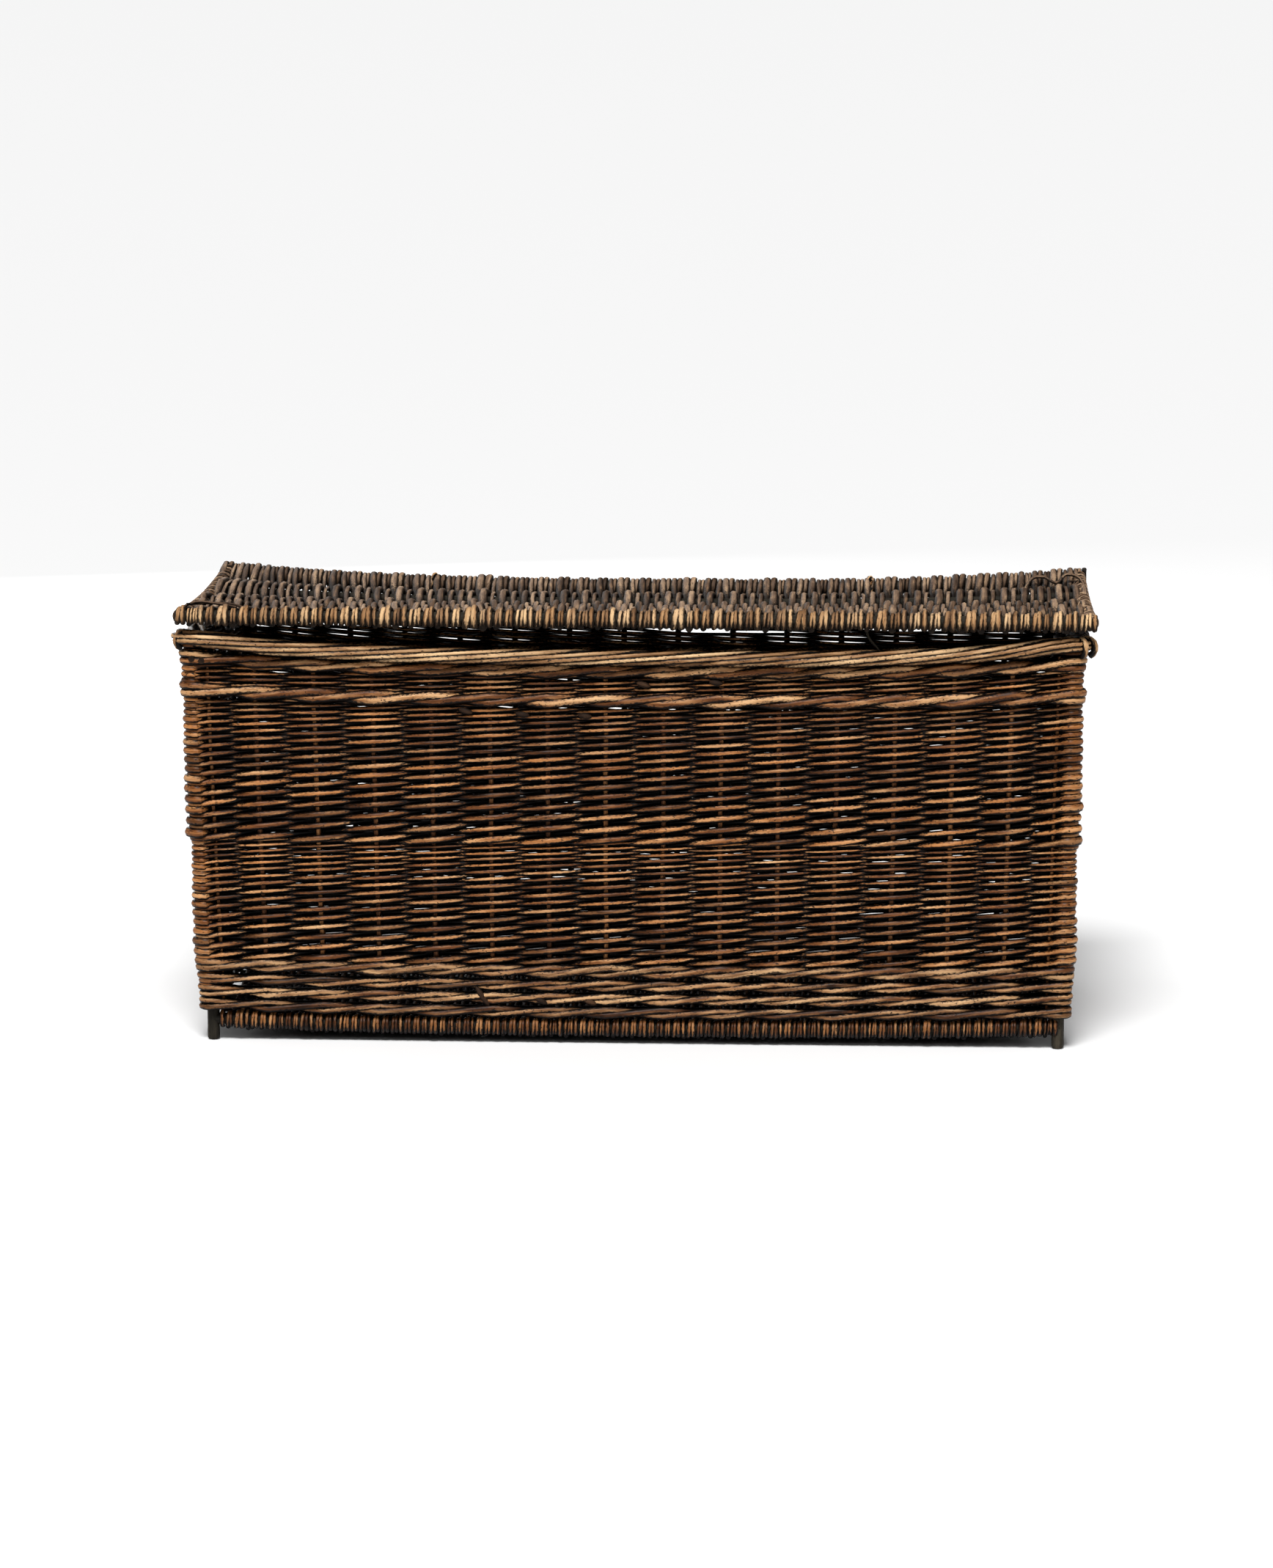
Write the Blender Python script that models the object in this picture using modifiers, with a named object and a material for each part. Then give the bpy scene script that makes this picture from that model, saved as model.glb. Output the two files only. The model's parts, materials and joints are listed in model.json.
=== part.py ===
"""Willow log basket: a square-work hamper on four corner-post feet, with a lid that swings on two willow loops.

Row frame: metres, +X along the length, +Y towards the hinge side, +Z up, origin on the floor under the middle.
The rods of the walls are grouped into bands. Each band is one ring of willow that passes outside one stake and
inside the next, and the band above it does the opposite, as the rods themselves do.
"""

import math

import bmesh
import bpy
from mathutils import Vector

# ---------------------------------------------------------------- driving dimensions, in metres
POST_SPACING_X = 0.8476  # between the corner posts' centres at the floor, along the length
POST_SPACING_Y = 0.369  # the same, front to back
FLARE_X = 0.009  # how far each end leans out by the rim
FLARE_Y = 0.006  # how far the front and the back lean out by the rim

BASE_UNDERSIDE = 0.0135  # the feet hold the woven base this far off the floor, at its corners
BASE_THICKNESS = 0.0195
BASE_WALE_HEIGHT = 0.0535  # the twisted rods that set up the walls
LOWER_RANDING_HEIGHT = 0.1215
UPPER_RANDING_HEIGHT = 0.143
RIM_WALE_HEIGHT = 0.0485

POST_DIAMETER = 0.0125
STAKE_DIAMETER = 0.0065
FRONT_STAKES = 14  # along the front, and along the back
SIDE_STAKES = 4  # along each end
RANDING_THICKNESS = 0.0045  # one rod of the plain weave
WALE_THICKNESS = 0.0065  # one of the stouter rods

BORDER_DIAMETER = 0.0195
BORDER_OVERHANG = 0.012  # the border's centre stands this far outside the stakes

LID_END_OVERHANG = 0.00245  # how far each end of the lid reaches past the border
LID_THICKNESS = 0.0215
LID_EDGE_STICK_DIAMETER = 0.012
LID_INNER_STICK_DIAMETER = 0.009
LID_STICK_SHARES = (0.0, 0.27, 0.42, 0.70, 1.0)  # of the way from the front stick to the back one
END_PAIRING_WIDTH = 0.013  # the twisted rods that close each end of the lid's weave

BASE_EDGE_STICK_DIAMETER = 0.012
BASE_INNER_STICK_DIAMETER = 0.010
BASE_STICKS = 4

HINGE_STAKE_GAPS = 8  # between the two hinge loops, each of which turns half way between two stakes
HINGE_ROD_DIAMETER = 0.0045
HINGE_PLAY = 0.0008  # between a loop and the border that it turns on

RIM_DROP_X = 0.0148  # how far age has let the front and the back sink, half way along
RIM_DROP_Y = 0.0082  # how far the ends and the middle of the lid have sunk, half way back
BASE_DROP_SHARE = 0.46  # of those drops, at the base
WAIST_DROP_SHARE = 0.07  # the walls hold their level at the waist
WAIST_HEIGHT = 0.195

GAP = 0.0004  # between pieces that touch
STICK_CLEARANCE = 0.0008  # of a bent stick in the weave around it
ROUND_SIDES = 8  # of every rod and of the holes it runs in
ROUND_RESOLUTION = ROUND_SIDES // 2 - 2  # the bevel resolution that gives that many sides

# ---------------------------------------------------------------- levels and places that follow from them
BASE_TOP = BASE_UNDERSIDE + BASE_THICKNESS
LOWER_RANDING_FOOT = BASE_TOP + BASE_WALE_HEIGHT
UPPER_RANDING_FOOT = LOWER_RANDING_FOOT + LOWER_RANDING_HEIGHT
RIM_WALE_FOOT = UPPER_RANDING_FOOT + UPPER_RANDING_HEIGHT
RIM_WALE_TOP = RIM_WALE_FOOT + RIM_WALE_HEIGHT
BORDER_LEVEL = RIM_WALE_TOP + GAP + BORDER_DIAMETER / 2
LID_LEVEL = BORDER_LEVEL + (BORDER_DIAMETER + LID_THICKNESS) / 2 + GAP

TOP_HALF_X = POST_SPACING_X / 2 + FLARE_X
TOP_HALF_Y = POST_SPACING_Y / 2 + FLARE_Y
BORDER_HALF_X = TOP_HALF_X + BORDER_OVERHANG
BORDER_HALF_Y = TOP_HALF_Y + BORDER_OVERHANG
LID_LENGTH = 2 * (BORDER_HALF_X + BORDER_DIAMETER / 2 + LID_END_OVERHANG)
HINGE_SPACING = HINGE_STAKE_GAPS * 2 * TOP_HALF_X / (FRONT_STAKES + 1)
DROP_REACH_X = BORDER_HALF_X + BORDER_DIAMETER / 4
DROP_REACH_Y = BORDER_HALF_Y + BORDER_DIAMETER / 2
FLAT_COS = math.cos(math.pi / ROUND_SIDES)  # a flat of a many-sided circle is this much nearer its centre

BARK = (0.115, 0.052, 0.022)
BUFF = (0.235, 0.115, 0.048)
WEATHERED = (0.120, 0.085, 0.065)
STICK_GREY = (0.060, 0.050, 0.040)


# ---------------------------------------------------------------- shape of the sunken rim and base
def lean(z):
    """Half the distance between the posts at height z, along X and along Y."""
    share = z / BORDER_LEVEL
    return POST_SPACING_X / 2 + FLARE_X * share, POST_SPACING_Y / 2 + FLARE_Y * share


def drop_share(z):
    """How much of the rim's drop there is at height z: all of it at the rim and little at the waist."""
    if z >= WAIST_HEIGHT:
        t = (z - WAIST_HEIGHT) / (BORDER_LEVEL - WAIST_HEIGHT)
        return WAIST_DROP_SHARE + (1 - WAIST_DROP_SHARE) * t * t
    t = (WAIST_HEIGHT - z) / (WAIST_HEIGHT - BASE_TOP)
    return WAIST_DROP_SHARE + (BASE_DROP_SHARE - WAIST_DROP_SHARE) * t * t


def drop_along(x):
    return RIM_DROP_X * max(0.0, 1 - abs(x / DROP_REACH_X) ** 3)


def drop_across(y):
    return RIM_DROP_Y * max(0.0, 1 - (y / DROP_REACH_Y) ** 2)


def wall_drop(x, y, z):
    """How far a point of the walls, the border or the base lies below its level at the corners."""
    return drop_share(z) * (drop_along(x) + drop_across(y))


HINGE_LEVEL = BORDER_LEVEL - wall_drop(0.0, BORDER_HALF_Y, BORDER_LEVEL)
HINGE_AXIS = Vector((0.0, BORDER_HALF_Y, HINGE_LEVEL))
LOOP_OFF_AXIS = BORDER_LEVEL - wall_drop(HINGE_SPACING / 2, BORDER_HALF_Y, BORDER_LEVEL) - HINGE_LEVEL
LOOP_RADIUS = BORDER_DIAMETER / 2 + LOOP_OFF_AXIS + HINGE_PLAY + HINGE_ROD_DIAMETER / 2
LOOP_REACH = LOOP_RADIUS / FLAT_COS + HINGE_ROD_DIAMETER / 2
LID_BACK_Y = BORDER_HALF_Y
LID_FRONT_Y = -BORDER_HALF_Y - LOOP_REACH + LID_THICKNESS / 2  # the lid reaches as far forward as the loops do back


def lid_drop(x, y):
    """The lid keeps its front edge straight, sinks in the middle and follows the border at the back."""
    share = (y - LID_FRONT_Y) / (LID_BACK_Y - LID_FRONT_Y)
    return drop_across(y) + drop_along(x) * min(1.0, max(0.0, share))


# ---------------------------------------------------------------- scene, materials and small builders
def clear_scene():
    for obj in list(bpy.data.objects):
        bpy.data.objects.remove(obj)


def collection(name):
    made = bpy.data.collections.new(name)
    bpy.context.scene.collection.children.link(made)
    return made


def material(name, colour, roughness):
    made = bpy.data.materials.new(name)
    made.use_nodes = True
    shader = made.node_tree.nodes["Principled BSDF"]
    shader.inputs["Base Color"].default_value = (*colour, 1.0)
    shader.inputs["Roughness"].default_value = roughness
    shader.inputs["Metallic"].default_value = 0.0
    return made


clear_scene()
BASKET = collection("log_basket")
CUTTERS = collection("cutters")
BROWN_WILLOW = material("brown_willow", BARK, 0.5)
BUFF_WILLOW = material("buff_willow", BUFF, 0.45)
GREY_WILLOW = material("weathered_willow", WEATHERED, 0.7)
STICK_WILLOW = material("unpeeled_stick", STICK_GREY, 0.75)


def new_object(name, data, place=(0.0, 0.0, 0.0), finish=None, home=None):
    obj = bpy.data.objects.new(name, data)
    obj.location = place
    (home or BASKET).objects.link(obj)
    if finish:
        obj.data.materials.append(finish)
    return obj


def rod(name, points, diameter, finish, closed=False):
    """A round rod of willow along points, its origin at the first of them."""
    start = Vector(points[0])
    curve = bpy.data.curves.new(name, "CURVE")
    curve.dimensions = "3D"
    curve.bevel_depth = diameter / 2
    curve.bevel_resolution = ROUND_RESOLUTION
    curve.use_fill_caps = not closed
    spline = curve.splines.new("POLY")
    spline.points.add(len(points) - 1)
    for knot, point in zip(spline.points, points):
        knot.co = (*(Vector(point) - start), 1.0)
    spline.use_cyclic_u = closed
    spline.use_smooth = True
    return new_object(name, curve, start, finish)


def arc(centre, radius, first, last, steps):
    """Points of a round stretch in a plane, from one angle to another, both ends included."""
    angles = [math.radians(first + (last - first) * k / steps) for k in range(steps + 1)]
    return [(centre[0] + radius * math.cos(a), centre[1] + radius * math.sin(a)) for a in angles]


def cut(target, cutter):
    cutter.hide_render = True
    cutter.display_type = "WIRE"
    step = target.modifiers.new(f"cut_{cutter.name}", "BOOLEAN")
    step.operation = "DIFFERENCE"
    step.object = cutter


def box_cutter(name, low, high):
    bm = bmesh.new()
    bmesh.ops.create_cube(bm, size=1.0)
    size = Vector(high) - Vector(low)
    bmesh.ops.scale(bm, vec=size, verts=bm.verts)
    mesh = bpy.data.meshes.new(name)
    bm.to_mesh(mesh)
    bm.free()
    return new_object(name, mesh, (Vector(low) + Vector(high)) / 2, home=CUTTERS)


# ---------------------------------------------------------------- woven panels: the base and the lid
def panel_section(level, thickness, sticks):
    """Points (y, z) and four-sided cells of a weave cut across its sticks, with a hole round each of them.

    sticks is a list of (y, diameter). The edges are round, where the rods turn over the outer sticks.
    """
    half = thickness / 2
    points, cells = [], []
    before = None
    for k, (y, diameter) in enumerate(sticks):
        hole = arc((y, level), (diameter / 2 + STICK_CLEARANCE) / FLAT_COS, 0, 360, ROUND_SIDES)[:-1]
        square = ((1, 0), (1, 1), (0, 1), (-1, 1), (-1, 0), (-1, -1), (0, -1), (1, -1))
        edge = arc((y, level), half, 0, 360, ROUND_SIDES)[:-1]
        outside = []
        for corner, (across, up) in enumerate(square):
            outer_edge = (k == 0 and across < 0) or (k == len(sticks) - 1 and across > 0)
            outside.append(edge[corner] if outer_edge else (y + across * thickness * 0.6, level + up * half))
        first = len(points)
        points += outside + hole
        ring = [(first + c, first + ROUND_SIDES + c) for c in range(ROUND_SIDES)]
        for (out_a, in_a), (out_b, in_b) in zip(ring, ring[1:] + ring[:1]):
            cells.append((out_a, out_b, in_b, in_a))
        if before is not None:
            cells.append((before + 1, before, first + 4, first + 3))
            cells.append((before, before + 7, first + 5, first + 4))
        before = first
    return points, cells


def woven_panel(name, ends, level, thickness, sticks, drop, finish):
    """A flat weave from x = ends[0] to ends[1] round its sticks. drop(x, y) sinks it, station by station."""
    points, cells = panel_section(level, thickness, sticks)
    uses = {}
    for cell in cells:
        for edge in zip(cell, cell[1:] + cell[:1]):
            uses.setdefault(frozenset(edge), []).append(edge)
    skin = [pair[0] for pair in uses.values() if len(pair) == 1]
    bm = bmesh.new()
    rows = []
    for x in stations_between(*ends):
        rows.append([bm.verts.new((x, y, z - drop(x, y))) for y, z in points])
    for row, after in zip(rows, rows[1:]):
        for a, b in skin:
            bm.faces.new((row[a], after[a], after[b], row[b]))
    for cell in cells:
        bm.faces.new([rows[0][k] for k in cell])
        bm.faces.new([rows[-1][k] for k in reversed(cell)])
    bmesh.ops.recalc_face_normals(bm, faces=bm.faces)
    mesh = bpy.data.meshes.new(name)
    bm.to_mesh(mesh)
    bm.free()
    return new_object(name, mesh, finish=finish)


def bent_stick(name, y, level, half_length, diameter, drop, finish):
    """A stick along X that sinks with the weave around it."""
    xs = stations_between(-half_length, half_length)
    return rod(name, [(x, y, level - drop(x, y)) for x in xs], diameter, finish)


LID_WEAVE_HALF = LID_LENGTH / 2 - END_PAIRING_WIDTH - GAP
DROP_STATIONS = [DROP_REACH_X * k / 6 for k in range(-5, 6)]
BEND_STATIONS = sorted([-LID_WEAVE_HALF, *DROP_STATIONS, LID_WEAVE_HALF])
POST_NOTCH = POST_DIAMETER / 2 + 3 * GAP


def stations_between(first, last):
    """Where a piece that runs along X bends, its two ends included."""
    return [first, *(x for x in BEND_STATIONS if first + GAP / 2 < x < last - GAP / 2), last]


def build_base():
    """The woven floor: rods run front to back over and under long sticks, and the posts stand in its corners."""
    middle = BASE_UNDERSIDE + BASE_THICKNESS / 2
    half_x, half_y = POST_SPACING_X / 2, POST_SPACING_Y / 2
    end = half_x + POST_DIAMETER * 2 / 3

    def drop(x, y):
        return wall_drop(x, y, BASE_TOP)

    sticks = []
    for k in range(BASE_STICKS):
        edge = k in (0, BASE_STICKS - 1)
        y = -half_y + POST_SPACING_Y * k / (BASE_STICKS - 1)
        sticks.append((y, BASE_EDGE_STICK_DIAMETER if edge else BASE_INNER_STICK_DIAMETER))
        bent_stick(
            f"base_stick_{k + 1}", y, middle, half_x - POST_NOTCH if edge else end, sticks[-1][1], drop, STICK_WILLOW
        )
    base = woven_panel("base_weave", (-end, end), middle, BASE_THICKNESS, sticks, drop, BROWN_WILLOW)
    for side_x, side_y in ((-1, -1), (1, -1), (-1, 1), (1, 1)):
        near = (side_x * (half_x - POST_NOTCH), side_y * (half_y - POST_NOTCH), 0.0)
        far = (side_x * (end + POST_NOTCH), side_y * (half_y + BASE_THICKNESS), BASE_TOP + POST_NOTCH)
        low = [min(a, b) for a, b in zip(near, far)]
        high = [max(a, b) for a, b in zip(near, far)]
        cut(base, box_cutter(f"post_notch_{side_x}_{side_y}", low, high))


def build_lid(hinge):
    """The lid: five sticks along its length, the weave across them, and a twisted pairing at each end."""
    half_length = LID_LENGTH / 2
    depth = LID_BACK_Y - LID_FRONT_Y
    sticks, pieces = [], []
    for k, share in enumerate(LID_STICK_SHARES):
        edge = share in (0.0, 1.0)
        y = LID_FRONT_Y + depth * share
        sticks.append((y, LID_EDGE_STICK_DIAMETER if edge else LID_INNER_STICK_DIAMETER))
        pieces.append(
            bent_stick(f"lid_stick_{k + 1}", y, LID_LEVEL, half_length, sticks[-1][1], lid_drop, STICK_WILLOW)
        )
    panels = (
        ("lid_end_pairing_left", -half_length, -half_length + END_PAIRING_WIDTH),
        ("lid_end_pairing_right", half_length - END_PAIRING_WIDTH, half_length),
        ("lid_weave", -LID_WEAVE_HALF, LID_WEAVE_HALF),
    )
    for name, first, last in panels:
        pieces.append(woven_panel(name, (first, last), LID_LEVEL, LID_THICKNESS, sticks, lid_drop, GREY_WILLOW))
    for side in (-1, 1):
        x = side * HINGE_SPACING / 2
        reach = HINGE_ROD_DIAMETER / 2 + 2 * GAP
        low = (x - reach, LID_BACK_Y - LOOP_REACH - 2 * GAP, LID_LEVEL - 2 * LID_THICKNESS)
        high = (x + reach, LID_BACK_Y + LID_THICKNESS, LID_LEVEL + LID_THICKNESS)
        cut(pieces[-1], box_cutter(f"loop_notch_{side}", low, high))
    for piece in pieces:
        ride_on(hinge, piece)


def ride_on(hinge, piece):
    piece.parent = hinge
    piece.matrix_parent_inverse = hinge.matrix_world.inverted()


# ---------------------------------------------------------------- posts, stakes and the bands woven round them
def build_posts():
    """Four corner posts, whose lower ends are the feet."""
    foot_x, foot_y = lean(0.0)
    top_x, top_y = lean(RIM_WALE_TOP)
    head = RIM_WALE_TOP - wall_drop(top_x, top_y, RIM_WALE_TOP)
    for name_y, side_y in (("front", -1), ("back", 1)):
        for name_x, side_x in (("left", -1), ("right", 1)):
            points = (
                (side_x * foot_x, side_y * foot_y, 0.0),
                (side_x * foot_x, side_y * foot_y, BASE_UNDERSIDE),
                (side_x * top_x, side_y * top_y, head),
            )
            rod(f"corner_post_{name_y}_{name_x}", points, POST_DIAMETER, STICK_WILLOW)


def wall_stations():
    """Where the stakes stand: (wall, number, share of the way along that wall) for each."""
    walls = (("front", FRONT_STAKES), ("right", SIDE_STAKES), ("back", FRONT_STAKES), ("left", SIDE_STAKES))
    return [(wall, k + 1, (k + 1) / (count + 1)) for wall, count in walls for k in range(count)]


def on_wall(wall, share, out, half_x, half_y):
    """A place at a share of the way along a wall, going round from the front left, and out from its stakes."""
    along_x = half_x * (2 * share - 1)
    along_y = half_y * (2 * share - 1)
    return {
        "front": (along_x, -half_y - out),
        "right": (half_x + out, along_y),
        "back": (-along_x, half_y + out),
        "left": (-half_x - out, -along_y),
    }[wall]


def wall_point(wall, share, out, level):
    """The same place on the sunken and leaning wall, at a level measured at the corners.

    The stakes' line sets how far it has sunk, so that bands on either side of it keep their gap.
    """
    z = level - wall_drop(*on_wall(wall, share, 0.0, *lean(level)), level)
    return (*on_wall(wall, share, out, *lean(z)), z)


def build_stakes():
    for wall, number, share in wall_stations():
        low = wall_point(wall, share, 0.0, BASE_TOP + 2 * GAP)
        high = wall_point(wall, share, 0.0, RIM_WALE_TOP)
        rod(f"stake_{wall}_{number:02d}", (low, high), STAKE_DIAMETER, STICK_WILLOW)


def round_post(wall, turn, level):
    """Three points of the weave's turn round the post at the far end of a wall."""
    half_x, half_y = lean(level)
    side_x, side_y, angle = {
        "front": (1, -1, 270),
        "right": (1, 1, 0),
        "back": (-1, 1, 90),
        "left": (-1, -1, 180),
    }[wall]
    z = level - wall_drop(half_x, half_y, level)
    return [(x, y, z) for x, y in arc((side_x * half_x, side_y * half_y), turn, angle + 5, angle + 85, 2)]


def band_path(level, thickness, phase):
    """The rods' middle line round the basket: outside a stake, inside the next, and outside every post."""
    swing = STAKE_DIAMETER / 2 + GAP + thickness / 2
    turn = (POST_DIAMETER / 2 + GAP + thickness / 2) / math.cos(math.pi / 8)
    stations = wall_stations()
    path = []
    for k, (wall, number, share) in enumerate(stations):
        half_x, half_y = lean(level)
        reach = STAKE_DIAMETER / (2 * (half_x if wall in ("front", "back") else half_y))
        out = swing if (k + phase) % 2 == 0 else -swing
        path.append(wall_point(wall, share - reach, out, level))
        path.append(wall_point(wall, share + reach, out, level))
        if k + 1 == len(stations) or stations[k + 1][0] != wall:
            path += round_post(wall, turn, level)
    return path


def build_band(name, foot, top, thickness, phase):
    """One ring of weave: an open strip round the basket, given the rods' thickness by Solidify."""
    bm = bmesh.new()
    low = [bm.verts.new(point) for point in band_path(foot, thickness, phase)]
    high = [bm.verts.new(point) for point in band_path(top, thickness, phase)]
    for k, vert in enumerate(low):
        bm.faces.new((low[k - 1], vert, high[k], high[k - 1]))
    mesh = bpy.data.meshes.new(name)
    bm.to_mesh(mesh)
    bm.free()
    band = new_object(name, mesh, finish=BROWN_WILLOW)
    wall = band.modifiers.new("rod_thickness", "SOLIDIFY")
    wall.thickness = thickness
    wall.offset = 0.0
    wall.use_even_offset = True
    return band


def build_border():
    """The rolled border that closes the rim, following its sunken line."""
    turn = BORDER_OVERHANG + POST_DIAMETER / 2
    centre_x, centre_y = BORDER_HALF_X - turn, BORDER_HALF_Y - turn
    ys = [centre_y * k / 3 for k in (-2, -1, 0, 1, 2)]
    path = arc((-centre_x, -centre_y), turn, 180, 270, 3)
    path += [(x, -BORDER_HALF_Y) for x in DROP_STATIONS]
    path += arc((centre_x, -centre_y), turn, 270, 360, 3)
    path += [(BORDER_HALF_X, y) for y in ys]
    path += arc((centre_x, centre_y), turn, 0, 90, 3)
    path += [(x, BORDER_HALF_Y) for x in reversed(DROP_STATIONS)]
    path += arc((-centre_x, centre_y), turn, 90, 180, 3)
    path += [(-BORDER_HALF_X, y) for y in reversed(ys)]
    points = [(x, y, BORDER_LEVEL - wall_drop(x, y, BORDER_LEVEL)) for x, y in path]
    rod("border", points, BORDER_DIAMETER, BUFF_WILLOW, closed=True)


# ---------------------------------------------------------------- hinge loops
def build_hinge_loops(hinge):
    """A willow loop bound round the lid's back stick, which turns round the border like a ring on a rail."""
    above = LID_EDGE_STICK_DIAMETER / 2 + 2 * GAP + HINGE_ROD_DIAMETER / 2
    for name, side in (("left", -1), ("right", 1)):
        x = side * HINGE_SPACING / 2
        stick_level = LID_LEVEL - lid_drop(x, LID_BACK_Y)
        ring = arc((HINGE_AXIS.y, HINGE_AXIS.z), LOOP_RADIUS / FLAT_COS, 180, 360, ROUND_SIDES // 2)
        ring += arc((LID_BACK_Y, stick_level), above / FLAT_COS, 0, 180, ROUND_SIDES // 2)
        loop = rod(f"hinge_loop_{name}", [(x, y, z) for y, z in ring], HINGE_ROD_DIAMETER, BUFF_WILLOW, closed=True)
        ride_on(hinge, loop)


def notch_for_loops(band):
    """The weave under the border is left open where each loop turns."""
    sides = 16
    radius = (LOOP_REACH + 2 * GAP) / math.cos(math.pi / sides)
    for side in (-1, 1):
        bm = bmesh.new()
        bmesh.ops.create_cone(
            bm, cap_ends=True, segments=sides, radius1=radius, radius2=radius, depth=HINGE_ROD_DIAMETER + 4 * GAP
        )
        mesh = bpy.data.meshes.new(f"loop_path_{side}")
        bm.to_mesh(mesh)
        bm.free()
        place = (side * HINGE_SPACING / 2, HINGE_AXIS.y, HINGE_AXIS.z)
        disc = new_object(f"loop_path_{side}", mesh, place, home=CUTTERS)
        disc.rotation_euler = (0.0, math.pi / 2, 0.0)
        cut(band, disc)


def build():
    hinge = new_object("lid_hinge_axis", None, HINGE_AXIS)
    bpy.context.view_layer.update()
    build_base()
    build_posts()
    build_stakes()
    build_band("base_wale", BASE_TOP + 2 * GAP, LOWER_RANDING_FOOT, WALE_THICKNESS, 0)
    build_band("lower_randing", LOWER_RANDING_FOOT + GAP, UPPER_RANDING_FOOT, RANDING_THICKNESS, 1)
    build_band("upper_randing", UPPER_RANDING_FOOT + GAP, RIM_WALE_FOOT, RANDING_THICKNESS, 0)
    notch_for_loops(build_band("rim_wale", RIM_WALE_FOOT + GAP, RIM_WALE_TOP, WALE_THICKNESS, 1))
    build_border()
    build_lid(hinge)
    build_hinge_loops(hinge)


build()
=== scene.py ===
# %% [markdown]
# # A willow log basket, rod by rod
#
# The real basket is woven from willow rods. Corner posts and stakes stand upright, and rods
# are worked round them in bands: twisted waling at the foot, two blocks of plain randing, more waling,
# and a rolled border. The lid and the base are flat weaves on long sticks. Every rod here is a curve
# given thickness by a bevel and turned into a mesh, because a curve is how a rod behaves: it bends
# smoothly and tapers from butt to tip.

# %% The frame
import json
import math
import random

import bpy
import numpy as np
from mathutils import Matrix, Vector


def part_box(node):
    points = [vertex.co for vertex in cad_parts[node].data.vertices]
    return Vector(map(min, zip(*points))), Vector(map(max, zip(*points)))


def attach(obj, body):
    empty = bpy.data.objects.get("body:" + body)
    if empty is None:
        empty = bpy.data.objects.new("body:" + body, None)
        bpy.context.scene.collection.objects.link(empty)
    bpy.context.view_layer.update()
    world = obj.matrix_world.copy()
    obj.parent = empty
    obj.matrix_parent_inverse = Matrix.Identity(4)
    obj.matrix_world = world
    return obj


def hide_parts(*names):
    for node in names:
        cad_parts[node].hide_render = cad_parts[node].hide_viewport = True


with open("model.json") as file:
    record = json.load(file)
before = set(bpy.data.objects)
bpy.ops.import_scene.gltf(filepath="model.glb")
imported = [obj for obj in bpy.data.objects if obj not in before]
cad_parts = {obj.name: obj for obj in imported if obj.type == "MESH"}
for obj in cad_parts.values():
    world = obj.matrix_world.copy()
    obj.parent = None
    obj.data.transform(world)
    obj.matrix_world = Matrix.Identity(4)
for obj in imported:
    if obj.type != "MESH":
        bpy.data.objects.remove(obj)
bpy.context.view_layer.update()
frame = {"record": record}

# %% [markdown]
# ## Where the walls stand
#
# The walls lean outwards a little, and the rim has sunk with age between the corners. Two small functions
# give the lean and the drop at any height, and every rod of the walls uses them, so that the whole weave
# sinks together, as willow does.

# %% Sizes taken from the frame
foot = frame["record"]["mounts"][0]["pos_m"]
FOOT_X, FOOT_Y = abs(foot[0]), abs(foot[1])
post_low, post_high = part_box("corner_post_front_right")
border_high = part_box("border")[1]

POST_R = 0.00625
STAKE_R = 0.00325
SLIM = 0.8  # how thick a stake hard by a post is, next to the others
TOP_X = post_high.x - POST_R
TOP_Y = -post_low.y - POST_R
BORDER_R = 0.00975
BORDER_LEVEL = border_high.z - BORDER_R
DROP_REACH_X = border_high.x - BORDER_R / 2
DROP_REACH_Y = border_high.y

RIM_DROP_X = 0.0148  # the sag of the frame's rim half way along the front and the back
RIM_DROP_Y = 0.0082  # and half way along the ends
BASE_SHARE, WAIST_SHARE = 0.46, 0.07  # how much of that there is at the base and at the waist
WAIST = 0.195
BASE_TOP = 0.033
RIM_WALE_TOP = 0.3995


def lean(z):
    """Half the distance between the corner posts at height z, along X and along Y."""
    share = z / post_high.z
    return FOOT_X + (TOP_X - FOOT_X) * share, FOOT_Y + (TOP_Y - FOOT_Y) * share


def drop_along(x):
    return RIM_DROP_X * max(0.0, 1 - abs(x / DROP_REACH_X) ** 3)


def drop_across(y):
    return RIM_DROP_Y * max(0.0, 1 - (y / DROP_REACH_Y) ** 2)


def wall_drop(x, y, level):
    reach = BORDER_LEVEL - WAIST if level >= WAIST else WAIST - BASE_TOP
    end = 1.0 if level >= WAIST else BASE_SHARE
    share = WAIST_SHARE + (end - WAIST_SHARE) * ((level - WAIST) / reach) ** 2
    return share * (drop_along(x) + drop_across(y))


print("posts at", [round(v, 4) for v in (FOOT_X, FOOT_Y)], "lean to", [round(v, 4) for v in (TOP_X, TOP_Y)])

# %% [markdown]
# A place on a wall is told as a maker would tell it: which wall, how far along it, how far out from the
# stakes, and at what height. Each wall has a stake hard by each post and evenly spaced ones between, and rods
# are worked from station to station.

# %% Stations round the basket
WALLS = ("front", "right", "back", "left")
STAKES = {"front": 14, "right": 4, "back": 14, "left": 4}
CORNER_STAKE = 0.0118  # from the post's middle to the stake hard by it


def wall_length(wall, level):
    half_x, half_y = lean(level)
    return 2 * (half_x if wall in ("front", "back") else half_y)


def flat_place(wall, share, out, half_x, half_y):
    x, y = half_x * (2 * share - 1), half_y * (2 * share - 1)
    return {
        "front": (x, -half_y - out),
        "right": (half_x + out, y),
        "back": (-x, half_y + out),
        "left": (-half_x - out, -y),
    }[wall]


LEFT_LEAN = 0.0075  # the left end has been pushed out by this much more at the top than the right end


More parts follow.
